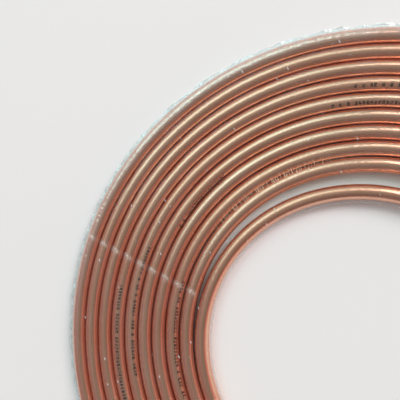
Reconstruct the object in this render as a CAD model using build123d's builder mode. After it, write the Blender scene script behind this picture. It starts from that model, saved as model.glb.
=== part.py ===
"""Soft copper tube wound into a flat single-layer coil, in a skin of clear shrink film.

The frame has its origin on the floor, under the middle of the film, with +Z up along
the coil's axis. All lengths are millimetres and all angles degrees. Seen from above,
the tube starts at its outer end, on the +X side, and runs clockwise and inwards. Its
turns lie tight against each other, so the coil is one solid with its turns showing on
both faces. Only the last half turn is free, and springs away into the bore.
"""

import os
from math import acos, atan2, cos, degrees, hypot, pi, radians

from build123d import *

# The tube, drawn with few sides, and bored only as far as its cut ends show
tube_od = 15.88
tube_wall = 1.0
tube_length = 15240.0
tube_sides = 8
end_bore_depth = 50.0

# How it is wound
turns = 10
tail_spring = 16.0

# The film, welded into a fin at mid-height, round its rim and round the bore
film_thickness = 0.35
film_clearance = 0.3
film_end_lap = 3.0
film_side_slope = 30.0
rim_fin_width = 2.5
bore_fin_width = 1.5

# Places that follow from these
half_turns = 2 * turns
tube_radius = tube_od / 2
tube_corner_radius = tube_radius / cos(pi / tube_sides)
mid_height = tube_radius + film_clearance + film_thickness


def inward_shift(crossing):
    """How far a crossing of the X axis lies inside the first one, by its number."""
    return crossing * tube_radius + (tail_spring if crossing == half_turns else 0)


# Each half turn is a half circle between two crossings, so the tube's length
# fixes how far the first crossing is from the winding axis.
shift_sum = sum(inward_shift(n) + inward_shift(n + 1) for n in range(half_turns)) / 2
first_crossing = (tube_length / pi + shift_sum) / half_turns
crossings = [
    (first_crossing - inward_shift(n)) * (1 if n % 2 == 0 else -1)
    for n in range(half_turns + 1)
]

# The coil is placed so that the film round its two outermost half turns is centred.
coil_x = -(crossings[0] + crossings[1]) / 2
coil_y = tube_radius / 2
front_radius = (crossings[0] - crossings[1]) / 2
back_radius = (crossings[2] - crossings[1]) / 2
back_x = coil_x + (crossings[1] + crossings[2]) / 2
bore_radius = (crossings[-1] - crossings[-2]) / 2
bore_x = coil_x + (crossings[-2] + crossings[-1]) / 2

with BuildSketch() as tube_section:
    RegularPolygon(tube_radius, tube_sides, major_radius=False, rotation=180 / tube_sides)

with BuildSketch() as end_bore_section:
    Circle(tube_radius - tube_wall)


def sweep_turn(section, start, end, angle, back=False):
    """Turn a section from one crossing towards the next, clockwise or back."""
    turn_axis = Axis((coil_x + (start + end) / 2, coil_y, 0), (0, 0, 1 if back else -1))
    section_plane = Plane((coil_x + start, coil_y, mid_height), x_dir=(1, 0, 0), z_dir=(0, -1, 0))
    with BuildPart() as stretch:
        with BuildSketch(section_plane):
            add(section.sketch)
        revolve(axis=turn_axis, revolution_arc=angle)
    return stretch.part


# The tube, one solid from end to end
with BuildPart() as tube_coil:
    for start, end in zip(crossings, crossings[1:]):
        add(sweep_turn(tube_section, start, end, 180))
    outer_angle = degrees(end_bore_depth / front_radius)
    inner_angle = degrees(end_bore_depth / bore_radius)
    outer_bore = sweep_turn(end_bore_section, crossings[0], crossings[1], outer_angle)
    inner_bore = sweep_turn(end_bore_section, crossings[-1], crossings[-2], inner_angle, True)
    add([outer_bore, inner_bore], mode=Mode.SUBTRACT)
tube_coil.part.label = "tube_coil"


def film_outline(rim_offset, bore_offset):
    """The film's rim and bore, at their distances from the middle of the nearest tube.

    The rim is taut round the front and back half turns. On the +X side it laps past the
    tube's outer end, and runs straight from there to where it touches the back half turn.
    """
    lap_reach = front_radius + rim_offset - back_x
    touch_radius = back_radius + rim_offset
    lap_angle = atan2(film_end_lap, lap_reach)
    touch_angle = degrees(lap_angle + acos(touch_radius / hypot(lap_reach, film_end_lap)))
    with BuildSketch() as outline:
        with BuildLine():
            front_arc = CenterArc((0, coil_y), front_radius + rim_offset, 180, 180)
            back_arc = CenterArc((back_x, coil_y), touch_radius, touch_angle, 180 - touch_angle)
            Polyline(front_arc @ 1, front_arc @ 1 + Vector(0, film_end_lap), back_arc @ 0)
        make_face()
        with Locations((bore_x, coil_y)):
            Circle(bore_radius - bore_offset, mode=Mode.SUBTRACT)
    return outline.sketch


def side_offset(distance):
    """How far the sloping side reaches at the weld line, when it clears the tube by a distance."""
    return (tube_corner_radius + distance) / cos(radians(film_side_slope))


def taut_ring(distance):
    """A ring over the coil's flat faces and sloping sides, at a distance from the tube."""
    offset = side_offset(distance)
    with BuildPart() as ring:
        with BuildSketch(Plane.XY.offset(mid_height)):
            add(film_outline(offset, offset))
        extrude(amount=tube_radius + distance, both=True, taper=film_side_slope)
    return ring.part


# The film, a closed skin round the coil, with a fin of two layers where it is welded
weld_offset = side_offset(film_clearance + film_thickness)
with BuildPart() as shrink_film:
    add(taut_ring(film_clearance + film_thickness))
    with BuildSketch(Plane.XY.offset(mid_height)):
        add(film_outline(weld_offset + rim_fin_width, weld_offset + bore_fin_width))
    extrude(amount=film_thickness, both=True)
    add(taut_ring(film_clearance), mode=Mode.SUBTRACT)
shrink_film.part.label = "shrink_film"

os.makedirs("parts", exist_ok=True)
for piece in (tube_coil, shrink_film):
    export_step(piece.part, f"parts/{piece.part.label}.step")
    print(piece.part.label, "volume", round(piece.part.volume), "mm3")
print("coil across", round(2 * (front_radius + tube_radius), 1))
print("bore circle", round(bore_radius - tube_radius, 1), "about x", round(bore_x, 1))
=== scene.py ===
import math

import bpy
import numpy as np
from mathutils import Matrix, Vector


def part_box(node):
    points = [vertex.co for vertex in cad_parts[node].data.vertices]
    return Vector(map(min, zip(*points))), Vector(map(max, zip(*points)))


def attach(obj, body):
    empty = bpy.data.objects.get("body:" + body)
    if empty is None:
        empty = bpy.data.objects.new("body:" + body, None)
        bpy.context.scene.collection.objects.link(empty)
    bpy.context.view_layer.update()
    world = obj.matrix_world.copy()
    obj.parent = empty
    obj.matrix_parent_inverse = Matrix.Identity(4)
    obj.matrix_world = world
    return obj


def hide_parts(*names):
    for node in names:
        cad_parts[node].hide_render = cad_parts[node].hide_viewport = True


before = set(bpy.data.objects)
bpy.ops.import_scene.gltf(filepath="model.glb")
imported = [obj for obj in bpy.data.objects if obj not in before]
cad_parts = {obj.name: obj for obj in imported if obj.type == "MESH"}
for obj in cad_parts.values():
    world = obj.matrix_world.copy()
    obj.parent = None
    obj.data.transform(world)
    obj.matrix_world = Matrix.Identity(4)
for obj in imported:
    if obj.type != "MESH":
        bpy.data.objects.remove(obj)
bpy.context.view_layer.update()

# A flat coil of bright soft copper tube in clear shrink film, lying on a pale floor.
# Everything is in metres, in the frame of the CAD solids, with +Z up.

coilLow, coilHigh = (np.array(corner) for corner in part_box("tube_coil"))
filmLow, filmHigh = (np.array(corner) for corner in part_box("shrink_film"))

coil = {
    "turns": 10,
    "tubeRadius": (coilHigh[2] - coilLow[2]) / 2,
    "midHeight": (coilHigh[2] + coilLow[2]) / 2,
    "tailSpring": 0.016,  # how far the inner end has sprung into the bore
}
coil["outerRadius"] = coilHigh[0] - coil["tubeRadius"]
# The back half reaches one tube radius less far than the front half
coil["centreY"] = (coilHigh[1] + coilLow[1]) / 2 + coil["tubeRadius"] / 2
halfTurns = 2 * coil["turns"]


def halfTurnCircles():
    # Centre x and radius of each half turn: a half circle between two crossings of the
    # X axis, each crossing one tube radius further in than the one before it.
    number = np.arange(halfTurns + 1)
    inward = number * coil["tubeRadius"] + coil["tailSpring"] * (number == halfTurns)
    reach = coil["outerRadius"] + coil["tubeRadius"] / 2 - inward
    crossingX = reach * (-1.0) ** number - coil["tubeRadius"] / 2
    return (crossingX[:-1] + crossingX[1:]) / 2, np.abs(crossingX[1:] - crossingX[:-1]) / 2


circleX, circleRadius = halfTurnCircles()
turnEnds = np.concatenate([[0], np.cumsum(circleRadius * np.pi)])  # lengths along the tube


def wander(values, seed, waves, lowest, highest):
    # A slow random curve between about -1 and 1: a sum of sines with seeded rates and phases.
    rng = np.random.default_rng(seed)
    rates = np.exp(rng.uniform(np.log(lowest), np.log(highest), waves))
    phases = rng.uniform(0, 2 * np.pi, waves)
    total = np.sin(values[..., None] * rates * 2 * np.pi + phases).sum(-1)
    return total / np.sqrt(1.5 * waves)


def smoothStep(values, start, end):
    # Rises from 0 at start to 1 at end: the share squared, times 3 less twice the share.
    share = np.clip((values - start) / (end - start), 0, 1)
    return share * share * (3 - 2 * share)


def gridFaces(rows, columns):
    # Quads between each row and the next, whose last column joins round to the first.
    row = np.arange(rows - 1)[:, None]
    column = np.arange(columns)[None, :]
    nextColumn = (column + 1) % columns
    corners = [
        row * columns + column,
        row * columns + nextColumn,
        (row + 1) * columns + nextColumn,
        (row + 1) * columns + column,
    ]
    return np.stack(corners, -1).reshape(-1, 4)


def meshObject(name, points, faces):
    mesh = bpy.data.meshes.new(name)
    mesh.from_pydata(points.tolist(), [], [face.tolist() for face in faces])
    mesh.update()
    piece = bpy.data.objects.new(name, mesh)
    bpy.context.collection.objects.link(piece)
    return piece


def writeValues(mesh, name, values):
    # One value per vertex, for a material to read.
    mesh.attributes.new(name, "FLOAT", "POINT").data.foreach_set("value", values)


def writeUv(mesh, name, u, v):
    # One value pair per vertex, where u or v is a share of a full turn: a corner that lags
    # its face by more than half a turn lies past the seam, so it gets one turn more.
    corner = np.empty(len(mesh.loops), dtype=int)
    mesh.loops.foreach_get("vertex_index", corner)
    starts = np.empty(len(mesh.polygons), dtype=int)
    mesh.polygons.foreach_get("loop_start", starts)
    sizes = np.diff(np.append(starts, len(corner)))
    pair = np.stack([u[corner], v[corner]], -1)
    highest = np.repeat(np.maximum.reduceat(pair, starts), sizes, axis=0)
    pair = pair + (highest - pair > 0.5)
    mesh.uv_layers.new(name=name).data.foreach_set("uv", pair.ravel())


# The printing on the tube: rows of plain dots that spell nothing
ink = {
    # Where each row starts and ends along the tube, and its share of the way round
    "rows": [
        (6.515, 6.650, 0.275),
        (6.990, 7.120, 0.31),
        (8.165, 8.312, 0.33),
        (8.560, 8.660, 0.33),
        (9.860, 9.935, 0.40),
        (12.405, 12.535, 0.35),
    ],
    # More rows, at random on the front half turns
    "seed": 29,
    "firstStart": 0.2,
    "lastStart": 15,
    "rowLength": (0.10, 0.17),
    "share": (0.18, 0.36),
    "gap": (0.25, 0.5),
    "margin": 0.05,
    # A cell of dots: its length and height, how many dots it has each way and how many of
    # them may be inked along the tube, and what share of dots and of cells is blank
    "pitch": 0.0037,
    "height": 0.0036,
    "cellDots": 7,
    "inkedDots": 5,
    "blankDots": 0.33,
    "blankCells": 0.2,
}


def inkRows(length):
    # Whether the tube is printed at each length, and where round it the row of print lies,
    # both by the row whose middle is nearest.
    rng = np.random.default_rng(ink["seed"])
    rows = list(ink["rows"])
    start = ink["firstStart"]
    while start < ink["lastStart"]:
        end = start + rng.uniform(*ink["rowLength"])
        share = rng.uniform(*ink["share"])
        halfTurn = np.searchsorted(turnEnds, [start - ink["margin"], end + ink["margin"]])
        if (halfTurn % 2 == 1).all():
            rows.append((start, end, share))
        start = end + rng.uniform(*ink["gap"])
    rows = np.array(sorted(rows))
    middles = rows[:, :2].mean(1)
    nearest = np.abs(length[:, None] - middles).argmin(1)
    inked = (length > rows[nearest, 0]) & (length < rows[nearest, 1])
    return inked.astype(float), rows[nearest, 2]


# The copper tube: a round section carried along the coil's own line
tube = {
    "around": 26,
    "along": 3560,
    "slack": 0.00017,  # how much thinner than its share of the coil the tube is drawn
    "wall": 0.001,
    "boreDepth": 0.06,
    "rounding": 0.00025,  # at the rims of the cut ends
    "sharpAngle": 40,
    # How far the tube strays upwards and sideways, and in what waves, per metre
    "upReach": 0.0003,
    "upWaves": {"seed": 11, "waves": 9, "lowest": 0.4, "highest": 2.6},
    "sideReach": 0.00014,
    "sideWaves": {"seed": 12, "waves": 9, "lowest": 0.5, "highest": 3.0},
    "tailFade": 0.3 * np.pi,  # the free tail's first angle, where the sideways straying ends
}


def coilLine(angle):
    # Point and sideways direction of the line at a winding angle: on half turn n the
    # point is centre n plus radius n in that direction, going clockwise from +X.
    number = np.minimum((angle / np.pi).astype(int), halfTurns - 1)
    level = 0 * angle
    outward = np.stack([np.cos(angle), -np.sin(angle), level], -1)
    centre = np.stack([circleX[number], level + coil["centreY"], level + coil["midHeight"]], -1)
    return centre + circleRadius[number][:, None] * outward, outward


def evenAngles(steps):
    # Winding angles at even steps of length along the whole line: pi for each half turn
    # before a length, and what is left of the length over the radius it is wound on.
    at = np.linspace(0, turnEnds[-1], steps)
    number = np.minimum(np.searchsorted(turnEnds, at, side="right") - 1, halfTurns - 1)
    return number * np.pi + (at - turnEnds[number]) / circleRadius[number], at


def buildTube():
    # Ring k lies round point k of the line at radius r: point + r (cos a * outward +
    # sin a * up). At each end the rings go on round the rim and back down the bore.
    angle, at = evenAngles(tube["along"])
    line, outward = coilLine(angle)
    up = np.array([0, 0, 1.0])
    tailStart = (halfTurns - 1) * np.pi
    wound = 1 - smoothStep(angle, tailStart, tailStart + tube["tailFade"])
    rise = tube["upReach"] * wander(at, **tube["upWaves"])
    shift = tube["sideReach"] * wound * wander(at, **tube["sideWaves"])
    line = line + up * rise[:, None] + outward * shift[:, None]

    outerRadius = coil["tubeRadius"] - tube["slack"]
    boreRadius = outerRadius - tube["wall"]
    depth = int(np.ceil(tube["boreDepth"] / (at[1] - at[0])))
    bore = np.arange(depth + 1)
    last = tube["along"] - 1
    order = np.concatenate([bore[::-1], [0, 0], np.arange(last + 1), [last, last], last - bore])
    boreRings = np.full(depth + 1, boreRadius)
    rimRings = np.array([boreRadius + tube["rounding"], outerRadius - tube["rounding"]])
    outerRings = np.full(tube["along"], outerRadius)
    radius = np.concatenate([boreRings, rimRings, outerRings, rimRings[::-1], boreRings])
    endRings = len(boreRings) + len(rimRings)
    along = np.concatenate([np.zeros(endRings), at, np.full(endRings, at[-1])])

    around = np.linspace(0, 2 * np.pi, tube["around"], endpoint=False)[None, :, None]
    ring = np.cos(around) * outward[order][:, None, :] + np.sin(around) * up
    points = line[order][:, None, :] + radius[:, None, None] * ring
    rows, column = len(order), np.arange(tube["around"])
    plugs = [column, (rows - 1) * tube["around"] + column[::-1]]  # across the bore, deep inside
    faces = list(gridFaces(rows, tube["around"])) + plugs
    piece = meshObject("copperTube", points.reshape(-1, 3), faces)

    mesh = piece.data
    share = np.tile(column / tube["around"], rows)
    length = np.repeat(along, tube["around"])
    writeUv(mesh, "alongTube", length, share)
    inked, inkShare = inkRows(length)
    writeUv(mesh, "alongInk", length, (share - inkShare + 0.5) % 1)
    writeValues(mesh, "inked", inked)
    mesh.shade_smooth()
    mesh.set_sharp_from_angle(angle=math.radians(tube["sharpAngle"]))
    return piece


copperTube = buildTube()
print("copper tube", len(copperTube.data.polygons), "faces")


def newMaterial(name):
    material = bpy.data.materials.new(name)
    material.use_nodes = True
    tree = material.node_tree
    tree.nodes.clear()
    return material, tree


def addNode(tree, kind, inputs=None, **settings):
    node = tree.nodes.new(kind)
    for key, value in settings.items():
        setattr(node, key, value)
    for key, value in (inputs or {}).items():
        if isinstance(value, bpy.types.NodeSocket):
            tree.links.new(value, node.inputs[key])
        else:
            node.inputs[key].default_value = value
    return node


def calc(tree, operation, first, second=None, third=None, clamp=False):
    given = enumerate((first, second, third))
    values = {number: value for number, value in given if value is not None}
    node = addNode(tree, "ShaderNodeMath", values, operation=operation, use_clamp=clamp)
    return node.outputs[0]


def mapRange(tree, value, fromLow, fromHigh, toLow, toHigh):
    inputs = {0: value, 1: fromLow, 2: fromHigh, 3: toLow, 4: toHigh}
    return addNode(tree, "ShaderNodeMapRange", inputs, clamp=True).outputs[0]


def mixColour(tree, factor, first, second):
    inputs = {0: factor, 6: first, 7: second}
    return addNode(tree, "ShaderNodeMix", inputs, data_type="RGBA").outputs[2]


def mixShader(tree, factor, first, second):
    inputs = {0: factor, 1: first.outputs[0], 2: second.outputs[0]}
    return addNode(tree, "ShaderNodeMixShader", inputs)


def uvMap(tree, name):
    return addNode(tree, "ShaderNodeUVMap", uv_map=name).outputs[0]


def pieceValue(tree, name):
    return addNode(tree, "ShaderNodeAttribute", attribute_name=name).outputs["Fac"]


def mapped(tree, place, repeats, turn=0):
    inputs = {0: place, 2: (0, 0, turn), 3: repeats}
    return addNode(tree, "ShaderNodeMapping", inputs).outputs[0]


def noise(tree, place, repeats, detail, turn=0):
    inputs = {"Vector": mapped(tree, place, repeats, turn), "Scale": 1.0, "Detail": detail}
    return addNode(tree, "ShaderNodeTexNoise", inputs).outputs[0]


# How the copper looks. A pattern's repeats are per metre along the tube and per turn round
# it. A ramp has the noise values between which it takes hold, then what it gives at each.
copper = {
    "colour": (0.97, 0.59, 0.44, 1),
    "darkColour": (0.90, 0.44, 0.30, 1),
    "grainColour": (0.74, 0.40, 0.28, 1),
    "inkColour": (0.02, 0.015, 0.015, 1),
    "edgeColour": (1.0, 0.60, 0.46, 1),
    "tone": {"repeats": (4.8, 3.2, 1), "detail": 4},
    "toneRamp": (0.35, 0.65, 0, 1),
    "roughRamp": (0.3, 0.7, 0.19, 0.28),
    "lines": {"repeats": (9, 40, 1), "detail": 5},
    "lineRamp": (0.42, 0.66, 0, 0.6),
    "grain": {"repeats": (1000, 32, 1), "detail": 2},
    "grainRamp": (0.42, 0.64, 0, 0.4),
    "grainHeight": 4,  # against the drawn lines
    "bump": {"Strength": 0.3, "Distance": 0.0002},
}


def inkMask(tree):
    # 1 on a printed dot and 0 elsewhere. Each dot of a cell is on or off at random, and so is
    # the whole cell. The last dots of each cell are left blank, and so is all past its height.
    dots = ink["cellDots"]
    dotsRound = dots * 2 * math.pi * coil["tubeRadius"] / ink["height"]
    place = addNode(tree, "ShaderNodeSeparateXYZ", {0: uvMap(tree, "alongInk")}).outputs
    column = calc(tree, "FLOOR", calc(tree, "MULTIPLY", place[0], dots / ink["pitch"]))
    row = calc(tree, "MULTIPLY_ADD", place[1], dotsRound, (dots - dotsRound) / 2)
    row = calc(tree, "FLOOR", row)
    dot = addNode(tree, "ShaderNodeCombineXYZ", {0: column, 1: row}).outputs[0]
    dotChance = addNode(tree, "ShaderNodeTexWhiteNoise", {"Vector": dot}).outputs["Value"]
    cell = calc(tree, "FLOOR", calc(tree, "DIVIDE", column, dots))
    cellNoise = addNode(tree, "ShaderNodeTexWhiteNoise", {"W": cell}, noise_dimensions="1D")
    dotOn = calc(tree, "GREATER_THAN", dotChance, ink["blankDots"])
    cellOn = calc(tree, "GREATER_THAN", cellNoise.outputs["Value"], ink["blankCells"])
    columnInCell = calc(tree, "FLOORED_MODULO", column, dots)
    inCell = calc(tree, "LESS_THAN", columnInCell, ink["inkedDots"] - 0.5)
    inRow = calc(tree, "COMPARE", row, (dots - 1) / 2, dots / 2)
    on = calc(tree, "MULTIPLY", calc(tree, "MULTIPLY", dotOn, cellOn), inCell)
    return calc(tree, "MULTIPLY", on, calc(tree, "MULTIPLY", inRow, pieceValue(tree, "inked")))


def copperMaterial():
    # Broad tones, drawn lines and a fine grain over the bare metal, and the print over all.
    material, tree = newMaterial("drawnCopper")
    place = uvMap(tree, "alongTube")
    tone = noise(tree, place, **copper["tone"])
    lines = noise(tree, place, **copper["lines"])
    grain = noise(tree, place, **copper["grain"])
    toneShare = mapRange(tree, tone, *copper["toneRamp"])
    lineShare = mapRange(tree, lines, *copper["lineRamp"])
    grainShare = mapRange(tree, grain, *copper["grainRamp"])
    printed = inkMask(tree)
    colour = mixColour(tree, toneShare, copper["colour"], copper["darkColour"])
    colour = mixColour(tree, lineShare, colour, copper["darkColour"])
    colour = mixColour(tree, grainShare, colour, copper["grainColour"])
    colour = mixColour(tree, printed, colour, copper["inkColour"])
    height = calc(tree, "MULTIPLY_ADD", grain, copper["grainHeight"], lines)
    bump = addNode(tree, "ShaderNodeBump", {"Height": height, **copper["bump"]}).outputs[0]
    shader = addNode(tree, "ShaderNodeBsdfPrincipled", {
        "Base Color": colour,
        "Roughness": mapRange(tree, tone, *copper["roughRamp"]),
        "Metallic": calc(tree, "SUBTRACT", 1.0, printed),
        "Specular Tint": copper["edgeColour"],
        "Normal": bump,
    })
    addNode(tree, "ShaderNodeOutputMaterial", {0: shader.outputs[0]})
    return material


copperTube.data.materials.append(copperMaterial())
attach(copperTube, "root")
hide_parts("tube_coil")

# The shrink film: a sheet over the coil and one under it, welded round the rim and the bore.
# Waves are given as how many there are, then the fewest times that one goes round, and the
# number of times that all stay below.
film = {
    # Each sheet's side of the tube, its seed and how many columns its coarse grid has
    "sheets": {
        "topFilm": {"side": 1, "seed": 71, "columns": 1100},
        "bottomFilm": {"side": -1, "seed": 83, "columns": 700},
    },
    "face": 0.00848,  # how far the film's face lies from the middle of the tube
    "endLap": 0.003,  # how far it runs on past the tube's outer end
    "weldGap": 0.00012,
    "weldReach": 0.0012,  # how far past its round side the film comes together
    "finWidth": 0.0024,
    "boreFinWidth": 0.0013,
    "boxMargin": 0.00002,  # how far it stays inside the CAD film's height
    # Its rows, and how much of the pleats and of the fin's wave each one takes
    "faceRows": 46,
    "finRows": 5,
    "fineFaceRows": 4,  # rows of the face with twice the columns, next to the rim
    "roundAngles": (90, 14),  # degrees up from level, between which it follows the tube
    "roundPleat": (1, 1.025, 1.05, 1.075, 1.1, 1.1, 0.9, 0.5),
    "roundWave": (0, 0, 0, 0, 0, 0, 0.1, 0.3),
    "finWaveStart": 0.4,
    "boreShare": 0.5,  # of the pleats and the wave, against the rim
    "rimFade": 13,  # how fast the pleats die out over the face, from the rim and the bore
    "boreFade": 16,
    # How far it hangs between two crests, and how unevenly
    "sag": 0.0009,
    "sagSpread": 0.25,
    "sagLean": 0.7,
    "sagWaves": (6, 7, 40),
    # The pleats: two sets of folds, bent and leaned over by slower waves
    "pleat": 0.00030,
    "narrowFolds": 131,
    "wideFolds": 74,
    "narrowShare": 0.6,
    "wideShare": 0.5,
    "bend": 2.2,
    "bendWaves": (5, 9, 60),
    "wideBend": 1.4,
    "lean": 55,
    "leanWaves": (4, 5, 30),
    "strengthSpread": 0.45,
    "leastStrength": 0.1,
    "strengthWaves": (6, 12, 90),
    # The fin's wave and its ragged edge, alike in both sheets, so that their fins lie together
    "finWave": 0.0008,
    "finSeed": 41,
    "finWaves": (9, 20, 130),
    "finPleat": 0.5,
    "finPleatSeed": 43,
    "fray": 0.0006,
    "fraySeed": 47,
    "frayWaves": (8, 30, 160),
}


def filmPlan(angle, boreOffset, rimOffset):
    # Points of the bore circle and of the rim's outline at a plan angle, each moved off the
    # middle of its tube. Round the back half the rim is the circle of half turn 1, then a
    # vertical lap and a straight line, in polar form, to the outer end of half turn 0.
    direction = np.stack([np.cos(angle), np.sin(angle)], -1)
    boreRadius = (circleRadius[-1] - boreOffset)[..., None]
    bore = boreRadius * direction + [circleX[-1], coil["centreY"]]
    frontRadius, backRadius = circleRadius[0] + rimOffset, circleRadius[1] + rimOffset
    lapReach = frontRadius - circleX[1] + circleX[0]
    lapAngle = np.arctan2(film["endLap"], lapReach)
    touch = lapAngle + np.arccos(backRadius / np.hypot(lapReach, film["endLap"]))
    nearEnd = np.minimum(angle, 1)  # the lap and the line lie well within this angle
    line = np.minimum(lapReach / np.cos(nearEnd), backRadius / np.cos(touch - nearEnd))
    back = np.sin(angle) >= 0
    radius = np.where(back, np.where(angle < touch, line, backRadius), frontRadius)
    rim = radius[..., None] * direction
    rim[..., 0] += np.where(back, circleX[1], circleX[0])
    rim[..., 1] += coil["centreY"]
    return bore, rim


def betweenTurns(x, y):
    # 0 over the top of a turn and 1 midway to the next: sine squared of pi times the number
    # of turns in from the rim, for the half of the coil that the point lies in.
    back = y >= coil["centreY"]
    centreX = np.where(back, circleX[1], circleX[0])
    outer = np.where(back, circleRadius[1], circleRadius[0])
    turn = (outer - np.hypot(x - centreX, y - coil["centreY"])) / (2 * coil["tubeRadius"])
    last = np.where(back, coil["turns"] - 2, coil["turns"] - 1)
    return np.where((turn > 0) & (turn < last), np.sin(np.pi * turn) ** 2, 0), turn


def ringWaves(angle, seed, count, lowest, highest):
    # A sum of whole-number waves round the ring, so that it joins up, between about -1 and 1.
    rng = np.random.default_rng(seed)
    rates = rng.integers(lowest, highest, count)
    phases = rng.uniform(0, 2 * np.pi, count)
    return np.sin(angle[..., None] * rates + phases).sum(-1) / np.sqrt(count)


def pleats(angle, inward, seed):
    # Sharp small folds that run in from the weld: ridges, 1 less twice the size of a sine,
    # whose phase is bent by slower waves, so that no two are alike, and more so further in.
    bend = film["bend"] * ringWaves(angle, seed, *film["bendWaves"])
    bend = bend + film["lean"] * inward * ringWaves(angle, seed + 1, *film["leanWaves"])
    spread = film["strengthSpread"]
    strength = 1 - spread + spread * ringWaves(angle, seed + 2, *film["strengthWaves"])
    narrow = 1 - 2 * np.abs(np.sin(angle * film["narrowFolds"] + bend))
    wide = 1 - 2 * np.abs(np.sin(angle * film["wideFolds"] - film["wideBend"] * bend))
    ridges = film["narrowShare"] * narrow + film["wideShare"] * wide
    return np.clip(strength, film["leastStrength"], 1) * ridges


def filmRows():
    # The rows from the bore's weld, up round the innermost tube, over the face, and down
    # round the outermost tube to the rim's weld. Each has its share of the way from bore to
    # rim, its offset and height, and how much of the pleats and the wave it takes.
    turnDown = np.radians(np.linspace(*film["roundAngles"], len(film["roundWave"]) + 1))[1:]
    fin = np.linspace(0, 1, film["finRows"])
    weld = film["face"] + film["weldReach"]
    roundOffset = film["face"] * np.cos(turnDown)
    rimOffset = np.concatenate([roundOffset, weld + fin * film["finWidth"]])
    boreOffset = np.concatenate([roundOffset, weld + fin * film["boreFinWidth"]])
    height = np.concatenate([film["face"] * np.sin(turnDown), 0 * fin + film["weldGap"]])
    start = film["finWaveStart"]
    wave = np.concatenate([film["roundWave"], start + (1 - start) * fin])
    pleat = np.concatenate([film["roundPleat"], 0 * fin])
    face = np.linspace(0, 1, film["faceRows"])
    toRim, toBore = np.exp(-film["rimFade"] * (1 - face)), np.exp(-film["boreFade"] * face)
    none, flat = 0 * face, 0 * height
    share = film["boreShare"]
    return {
        "share": np.concatenate([flat, face, flat + 1]),
        "boreOffset": np.concatenate([boreOffset[::-1], none, flat]),
        "rimOffset": np.concatenate([flat, none, rimOffset]),
        "height": np.concatenate([height[::-1], none + film["face"], height]),
        "pleat": np.concatenate([share * pleat[::-1], toRim + share * toBore, pleat]),
        "wave": np.concatenate([share * wave[::-1], none, wave]),
    }


def filmPoints(angle, rows, side, seed):
    # Each row follows the plan outline between bore and rim; its height is that row's, less
    # the sag, with the pleats along the film's own normal and the fin's wave added. The fin
    # is frayed too, more towards its edge.
    angle = angle[None, :]
    row = {key: value[:, None] for key, value in rows.items()}
    bore, rim = filmPlan(angle + 0 * row["share"], row["boreOffset"], row["rimOffset"])
    plan = (1 - row["share"])[..., None] * bore + row["share"][..., None] * rim
    between, turn = betweenTurns(plan[..., 0], plan[..., 1])
    offset = row["rimOffset"] - row["boreOffset"]
    reach = np.hypot(offset, row["height"])
    pleat = film["pleat"] * row["pleat"] * pleats(angle, 1 - row["share"], seed)
    start = film["finWaveStart"]
    fray = film["fray"] * ringWaves(angle, film["fraySeed"], *film["frayWaves"])
    fray = fray * np.maximum(row["wave"] - start, 0) / (1 - start)
    outward = np.stack([np.cos(angle), np.sin(angle)], -1)
    plan = plan + outward * (pleat * offset / reach + fray * np.sign(offset))[..., None]
    spread = film["sagSpread"]
    slack = ringWaves(angle + film["sagLean"] * row["share"], seed + 5, *film["sagWaves"])
    onFace = offset == 0
    sag = film["sag"] * (1 - spread + spread * slack) * between * onFace
    wave = ringWaves(angle, film["finSeed"], *film["finWaves"])
    wave = wave + film["finPleat"] * pleats(angle, 0 * row["share"], film["finPleatSeed"])
    height = side * (row["height"] * (1 + pleat / reach) - sag)
    height = height + row["wave"] * film["finWave"] * wave + coil["midHeight"]
    height = np.clip(height, filmLow[2] + film["boxMargin"], filmHigh[2] - film["boxMargin"])
    return np.concatenate([plan, height[..., None]], -1), turn


def borderFans(split, columns):
    # Where the columns double: a triangle on each coarse edge, from its start and end to the
    # fine point between them, and one on each half of the fine edge, to the start or end.
    column = np.arange(columns)
    start = (split - 1) * columns + column
    end = (split - 1) * columns + (column + 1) % columns
    left = split * columns + 2 * column
    middle = left + 1
    right = split * columns + (2 * column + 2) % (2 * columns)
    fans = [(start, end, middle), (start, middle, left), (end, right, middle)]
    return np.concatenate([np.stack(fan, -1) for fan in fans])


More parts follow.
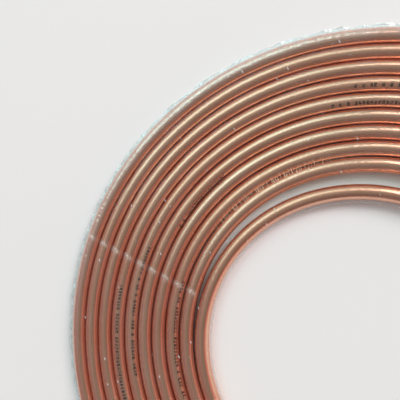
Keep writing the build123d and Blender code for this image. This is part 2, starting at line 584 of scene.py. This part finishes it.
# How the film looks. Places across it are metres in from its edge at the rim or the bore. A
# ramp has the values between which it takes hold, then what it gives at each.
filmLook = {
    "clearColour": (0.955, 0.98, 0.975, 1),
    "glossColour": (0.95, 0.98, 1, 1),
    "gleamColour": (1.0, 0.86, 0.77, 1),
    "milkColour": (0.90, 0.93, 0.93, 1),
    # The tick and crease colours are warm, as painted copper light glinting in the film
    "tickGlintColour": (1.0, 0.66, 0.46, 1),
    "creaseHighlightColour": (1.0, 0.84, 0.70, 1),
    # Haze at the welds, and over the shoulder of the outermost turn, more round the back; over
    # the shoulder it is partly painted glare
    "backAngle": 1.7,  # where the middle of the back is, in radians
    "weldHaze": 0.36,
    "weldEnds": (0.002, 0.006),
    "shoulderHazeAndGlare": 0.19,
    "shoulderEnds": (0.010, 0.020),
    "frontShare": 0.2,  # of the shoulder's haze, round the front
    "boreHaze": 0.12,
    "boreEnds": (0.001, 0.004),
    # The crease, drawn as painted highlights over the crests: its line in plan, how far it
    # runs, and its width across the line and, in turns, across a crest
    "creaseStart": np.array([-0.226, 0.2216]),
    "creaseEnd": np.array([-0.1463, 0.1237]),
    "creaseRun": (-0.005, 0.135),
    "creaseWidth": 0.0026,
    "crestWidth": 0.24,
    # The gleam over the crest of the outermost turn
    "gleamStart": (0.0112, 0.0143),
    "gleamEnd": (0.0155, 0.0210),
    "gleamPower": 4,  # how fast it dies out from the middle of the back
    # The ticks, painted orange glints: between which angles in degrees, and beside which turn
    "tickStart": (66, 88),
    "tickEnd": (104, 126),
    "tickTurn": 7.54,
    "tickWidth": 0.18,
    # Patterns, with their repeats per metre, or per turn round the film and metre across it
    "crumple": {"repeats": (1100, 280, 300), "detail": 3, "turn": -0.5},
    "broad": {"repeats": (38, 38, 38), "detail": 3},
    "streaks": {"repeats": (330, 900, 1), "detail": 3},
    "tickLines": {"repeats": (880, 60, 1), "detail": 1},
    "paintedGlints": {"repeats": (150, 48, 60), "turn": 0.6},
    # How milky each makes the film
    "creaseHighlightMilk": 0.56,
    "paintedGlintMilk": 0.7,
    "streakShare": 0.6,  # of the streaks, against the crumple
    "patchRamp": (0.44, 0.60, 0.05, 1.5),
    "tickRamp": (0.53, 0.60, 0.04, 0.74),
    "coreRamp": (0.04, 0.10, 1, 0),
    "someRamp": (0.48, 0.54, 0, 1),
    "baseRamp": (0.4, 0.6, 0, 0.012),
    "tintRamp": (0.02, 0.15, 0, 1),
    "milkRoughness": 0.5,
    # Its gloss: what it mirrors head on, at its edges, where it is hazy and in the gleam
    "roughness": 0.09,
    "leastShine": 0.03,
    "edgeShine": 0.7,
    "edgePower": 3.5,
    "hazeShine": 0.6,
    "gleamShine": 0.50,
    "gleamRough": 0.27,
    "streakHeight": 5,
    "bump": {"Strength": 0.6, "Distance": 0.0006},
}


def aroundBack(points):
    # 1 at the middle of the back and 0 over the front: the cosine of the angle from there.
    angle = np.arctan2(points[:, 1], points[:, 0])
    return np.clip(np.cos(angle - filmLook["backAngle"]), 0, 1)


def onTop(points):
    return points[:, 2] > coil["midHeight"]


def hazeAndGlareOf(points, fromRim, fromBore):
    # How milky the film is, with painted glare: most at the crumpled welds, and a little over
    # the shoulder, each its own share times a smooth step down with the distance from the edge.
    front = filmLook["frontShare"]
    weld = 1 - smoothStep(fromRim, *filmLook["weldEnds"])
    # The shoulder's milk is partly crinkled film and partly painted glare, heavier round the
    # back, the key softbox's side.
    shoulder = 1 - smoothStep(fromRim, *filmLook["shoulderEnds"])
    shoulder = shoulder * (front + (1 - front) * aroundBack(points))
    boreWeld = 1 - smoothStep(fromBore, *filmLook["boreEnds"])
    hazeAndGlare = filmLook["weldHaze"] * weld + filmLook["shoulderHazeAndGlare"] * shoulder
    return hazeAndGlare + filmLook["boreHaze"] * boreWeld


def creaseHighlightShare(points, turn):
    # Where a crease crosses the turns: a row of small smudges of milk, one over each crest,
    # partly the creased film and partly painted highlights. A bell curve across the crease's
    # line times one across each crest.
    along = filmLook["creaseEnd"] - filmLook["creaseStart"]
    along = along / np.linalg.norm(along)
    offset = points[:, :2] - filmLook["creaseStart"]
    reach, far = offset @ along, offset @ np.array([-along[1], along[0]])
    first, last = filmLook["creaseRun"]
    within = (reach > first) & (reach < last) & onTop(points)
    onCrest = np.exp(-((turn - np.round(turn)) / filmLook["crestWidth"]) ** 2)
    return np.exp(-(far / filmLook["creaseWidth"]) ** 2) * within * onCrest


def gleamOf(points, fromRim):
    # Where the crinkled film mirrors most: over the outermost turn, round the back. A smooth
    # step up and one down with the distance from the rim, times a power of aroundBack.
    rising = smoothStep(fromRim, *filmLook["gleamStart"])
    falling = 1 - smoothStep(fromRim, *filmLook["gleamEnd"])
    return rising * falling * aroundBack(points) ** filmLook["gleamPower"]


def tickGlintPlaces(points, turn):
    # Where the film puckers into a row of short ticks, painted as pale orange glints of
    # copper light: beside a groove between two inner turns, for a part of the way round the
    # back. A smooth step up and one down with the angle, times a bell curve across the turns.
    angle = np.degrees(np.arctan2(points[:, 1], points[:, 0]))
    rising = smoothStep(angle, *filmLook["tickStart"])
    falling = 1 - smoothStep(angle, *filmLook["tickEnd"])
    beside = np.exp(-((turn - filmLook["tickTurn"]) / filmLook["tickWidth"]) ** 2)
    return rising * falling * onTop(points) * beside


def buildFilm(name, side, seed, columns):
    # A coarse grid from the bore to near the rim, and one with twice the columns from there
    # to the weld. The map runs round by share of a turn, and across by metres from the bore.
    rows = filmRows()
    fineRows = film["fineFaceRows"] + len(film["roundWave"]) + film["finRows"]
    split = len(rows["share"]) - fineRows
    points, turns, shares, steps = [], [], [], []
    for part, count in ((slice(0, split), columns), (slice(split, None), 2 * columns)):
        angle = np.linspace(0, 2 * np.pi, count, endpoint=False)
        partRows = {key: value[part] for key, value in rows.items()}
        grid, turn = filmPoints(angle, partRows, side, seed)
        points.append(grid.reshape(-1, 3))
        turns.append(turn.ravel())
        shares.append(np.tile(angle, len(grid)) / (2 * np.pi))
        steps.append(np.linalg.norm(np.diff(grid, axis=0), axis=-1).mean(1))
    points, turn = np.concatenate(points), np.concatenate(turns)
    across = np.cumsum(np.concatenate([[0], steps[0], steps[0][-1:], steps[1]]))
    fromBore = np.repeat(across, [columns] * split + [2 * columns] * fineRows)
    fromRim = across[-1] - fromBore

    fineFaces = gridFaces(fineRows, 2 * columns) + split * columns
    faces = [gridFaces(split, columns), fineFaces, borderFans(split, columns)]
    if side > 0:
        faces = [group[:, ::-1] for group in faces]
    piece = meshObject(name, points, [face for group in faces for face in group])
    mesh = piece.data
    writeUv(mesh, "onFilm", np.concatenate(shares), fromBore)
    writeValues(mesh, "hazeAndGlare", hazeAndGlareOf(points, fromRim, fromBore))
    writeValues(mesh, "gleam", gleamOf(points, fromRim))
    writeValues(mesh, "creaseHighlights", creaseHighlightShare(points, turn))
    writeValues(mesh, "tickGlints", tickGlintPlaces(points, turn))
    mesh.shade_smooth()
    return piece


def filmMaterial():
    # Clear film that mirrors more towards its edges, and milk where it is hazy or glared,
    # and as painted glints and highlights over the crease, in the ticks and in the specks.
    material, tree = newMaterial("clearShrinkFilm")
    place = addNode(tree, "ShaderNodeTexCoord").outputs["Object"]
    onFilm = uvMap(tree, "onFilm")
    creaseHighlight, tickGlintShare = pieceValue(tree, "creaseHighlights"), pieceValue(tree, "tickGlints")
    gleam, hazeAndGlare = pieceValue(tree, "gleam"), pieceValue(tree, "hazeAndGlare")
    hazeAndGlare = calc(tree, "MULTIPLY_ADD", creaseHighlight, filmLook["creaseHighlightMilk"], hazeAndGlare)
    crumple = noise(tree, place, **filmLook["crumple"])
    broad = noise(tree, place, **filmLook["broad"])
    streaks = noise(tree, onFilm, **filmLook["streaks"])
    tickLines = noise(tree, onFilm, **filmLook["tickLines"])
    # The specks: tiny dots of white milk scattered over the film, painted glints standing in for
    # light caught by its wrinkles.
    paintedGlintPlace = mapped(tree, place, **filmLook["paintedGlints"])
    paintedGlints = addNode(tree, "ShaderNodeTexVoronoi", {"Vector": paintedGlintPlace, "Scale": 1.0})

    paintedGlintCore = mapRange(tree, paintedGlints.outputs["Distance"], *filmLook["coreRamp"])
    paintedGlint = calc(tree, "MULTIPLY", paintedGlintCore, mapRange(tree, broad, *filmLook["someRamp"]))
    tickGlintMilk = calc(tree, "MULTIPLY", tickGlintShare, mapRange(tree, tickLines, *filmLook["tickRamp"]))
    patches = calc(tree, "MULTIPLY", crumple, 1 - filmLook["streakShare"])
    patches = calc(tree, "MULTIPLY_ADD", streaks, filmLook["streakShare"], patches)
    patches = mapRange(tree, patches, *filmLook["patchRamp"])
    milk = calc(tree, "MULTIPLY_ADD", paintedGlint, filmLook["paintedGlintMilk"], tickGlintMilk)
    milk = calc(tree, "MULTIPLY_ADD", hazeAndGlare, patches, milk)
    milk = calc(tree, "ADD", milk, mapRange(tree, broad, *filmLook["baseRamp"]), clamp=True)
    # Warm tints where the ticks and the crease are: painted copper light glinting in the film.
    tickGlintTint = mapRange(tree, tickGlintShare, *filmLook["tintRamp"])
    creaseHighlightTint = mapRange(tree, creaseHighlight, *filmLook["tintRamp"])
    tint = mixColour(tree, tickGlintTint, filmLook["milkColour"], filmLook["tickGlintColour"])
    tint = mixColour(tree, creaseHighlightTint, tint, filmLook["creaseHighlightColour"])

    rough = calc(tree, "MULTIPLY_ADD", gleam, filmLook["gleamRough"], hazeAndGlare)
    height = calc(tree, "MULTIPLY_ADD", streaks, filmLook["streakHeight"], crumple)
    height = calc(tree, "MULTIPLY_ADD", rough, height, broad)
    bump = addNode(tree, "ShaderNodeBump", {"Height": height, **filmLook["bump"]}).outputs[0]
    facing = addNode(tree, "ShaderNodeLayerWeight", {0: 0.5}).outputs["Facing"]
    edge = calc(tree, "POWER", facing, filmLook["edgePower"])
    shine = calc(tree, "MULTIPLY_ADD", edge, filmLook["edgeShine"], filmLook["leastShine"])
    shine = calc(tree, "MULTIPLY_ADD", hazeAndGlare, filmLook["hazeShine"], shine)
    shine = calc(tree, "MULTIPLY_ADD", gleam, filmLook["gleamShine"], shine, clamp=True)
    glossColour = mixColour(tree, gleam, filmLook["glossColour"], filmLook["gleamColour"])

    clear = addNode(tree, "ShaderNodeBsdfTransparent", {0: filmLook["clearColour"]})
    gloss = addNode(tree, "ShaderNodeBsdfGlossy", {
        "Color": glossColour, "Roughness": filmLook["roughness"], "Normal": bump})
    milky = addNode(tree, "ShaderNodeBsdfPrincipled", {
        "Base Color": tint, "Roughness": filmLook["milkRoughness"], "Normal": bump})
    shader = mixShader(tree, milk, mixShader(tree, shine, clear, gloss), milky)
    addNode(tree, "ShaderNodeOutputMaterial", {0: shader.outputs[0]})
    return material


clearShrinkFilm = filmMaterial()
for name, values in film["sheets"].items():
    sheet = buildFilm(name, **values)
    sheet.data.materials.append(clearShrinkFilm)
    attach(sheet, "root")
    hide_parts("shrink_film")
    print(name, len(sheet.data.polygons), "faces")

# The floor, the sky and the lamps, which stand far off so that the floor is evenly lit. The
# ramps are given as the film's are.
softboxes = {
    "keySoftbox": {
        "azimuth": 99, "elevation": 50, "distance": 30, "size": (31, 19),
        "power": 2600, "colour": (0.61, 1.0, 1.0),
    },
    "fillSoftbox": {
        "azimuth": 15, "elevation": 37, "distance": 30, "size": (13.5, 13.5),
        "power": 5600, "colour": (1.0, 0.97, 0.97),
    },
}
studio = {
    "floorColour": (0.95, 0.895, 0.895, 1),
    "floorRoughness": 0.6,
    "floorReach": 12.0,
    "floorSides": 96,
    "skyColour": (0.62, 0.71, 0.69, 1),  # on the key's side, and darker on the other
    "farSkyColour": (0.095, 0.066, 0.050, 1),
    "roseColour": (0.37, 0.255, 0.29, 1),
    "roseAzimuth": 190,
    "roseRamp": (0.2, 0.8, 0, 1),
    "warmColour": (0.74, 0.29, 0.255, 1),
    "warmAzimuth": -40,
    "warmRamp": (0.50, 0.84, 0, 1),
    "warmTopRamp": (0.42, 0.73, 1, 0),
    "lowRamp": (0.1, 0.7, 0.45, 1),  # how much dimmer the sky is low down
    "horizonColour": (0.86, 0.86, 0.86, 1),
    "horizonRamp": (0.17, 0.27, 0, 1),
}


def buildFloor():
    # One flat round face: floorReach in every direction, at height 0.
    angle = np.linspace(0, 2 * np.pi, studio["floorSides"], endpoint=False)
    points = studio["floorReach"] * np.stack([np.cos(angle), np.sin(angle), 0 * angle], -1)
    floor = meshObject("floor", points, np.arange(studio["floorSides"])[None, :])
    material, tree = newMaterial("paleFloor")
    shader = addNode(tree, "ShaderNodeBsdfPrincipled", {
        "Base Color": studio["floorColour"], "Roughness": studio["floorRoughness"]})
    addNode(tree, "ShaderNodeOutputMaterial", {0: shader.outputs[0]})
    floor.data.materials.append(material)


def towards(tree, direction, azimuth):
    # How far a direction points to an azimuth: the product with the unit vector there.
    turn = math.radians(azimuth)
    inputs = {0: direction, 1: (math.cos(turn), math.sin(turn), 0)}
    return addNode(tree, "ShaderNodeVectorMath", inputs, operation="DOT_PRODUCT").outputs["Value"]


def buildSky():
    # A cool sky on the key's side, a dark one across from it and a rose patch between, all
    # dimmer low down. A low warm patch and a pale band round the horizon lie over them.
    world = bpy.data.worlds.new("studioSky")
    bpy.context.scene.world = world
    world.use_nodes = True
    tree = world.node_tree
    tree.nodes.clear()
    direction = addNode(tree, "ShaderNodeTexCoord").outputs["Generated"]
    height = addNode(tree, "ShaderNodeSeparateXYZ", {0: direction}).outputs[2]
    keySide = towards(tree, direction, softboxes["keySoftbox"]["azimuth"])
    warmSide = towards(tree, direction, studio["warmAzimuth"])
    roseSide = towards(tree, direction, studio["roseAzimuth"])
    keyShare = mapRange(tree, keySide, -1, 1, 0, 1)
    roseShare = mapRange(tree, roseSide, *studio["roseRamp"])
    warmShare = calc(tree, "MULTIPLY", mapRange(tree, warmSide, *studio["warmRamp"]),
        mapRange(tree, height, *studio["warmTopRamp"]))
    lower = mapRange(tree, height, *studio["lowRamp"])
    aboveBand = mapRange(tree, height, *studio["horizonRamp"])
    sky = mixColour(tree, keyShare, studio["farSkyColour"], studio["skyColour"])
    sky = mixColour(tree, roseShare, sky, studio["roseColour"])
    sky = addNode(tree, "ShaderNodeVectorMath", {0: sky, 3: lower}, operation="SCALE").outputs[0]
    sky = mixColour(tree, warmShare, sky, studio["warmColour"])
    sky = mixColour(tree, aboveBand, studio["horizonColour"], sky)
    background = addNode(tree, "ShaderNodeBackground", {"Color": sky, "Strength": 1.0})
    addNode(tree, "ShaderNodeOutputWorld", {0: background.outputs[0]})


def addSoftbox(name, azimuth, elevation, distance, size, power, colour):
    lamp = bpy.data.lights.new(name, "AREA")
    lamp.shape = "RECTANGLE"
    lamp.size, lamp.size_y = size
    lamp.energy = power
    lamp.color = colour
    turn, rise = math.radians(azimuth), math.radians(elevation)
    level = math.cos(rise)
    away = Vector((math.cos(turn) * level, math.sin(turn) * level, math.sin(rise)))
    holder = bpy.data.objects.new(name, lamp)
    holder.location = away * distance
    holder.rotation_euler = away.to_track_quat("Z", "Y").to_euler()
    bpy.context.collection.objects.link(holder)


buildFloor()
buildSky()
for name, values in softboxes.items():
    addSoftbox(name, **values)

# The camera, held close over the coil
view = {
    "place": (-0.01629, 0.16586, 0.43127),
    "forward": (-0.1896, 0.1012, -0.9766),
    "up": (0.4238, 0.9057, 0.0116),
    "lens": 36,
    "sensor": 36,
    "clipStart": 0.02,
}


def addCamera():
    camera = bpy.data.cameras.new("camera")
    camera.lens = view["lens"]
    camera.sensor_width = view["sensor"]
    camera.clip_start = view["clipStart"]
    holder = bpy.data.objects.new("camera", camera)
    back = -Vector(view["forward"]).normalized()
    right = Vector(view["up"]).cross(back).normalized()
    turned = Matrix((right, back.cross(right), back)).transposed().to_4x4()
    holder.matrix_world = Matrix.Translation(view["place"]) @ turned
    bpy.context.collection.objects.link(holder)
    bpy.context.scene.camera = holder


addCamera()
bpy.context.scene.view_settings.view_transform = "Standard"
print("floor, lamps and camera placed")
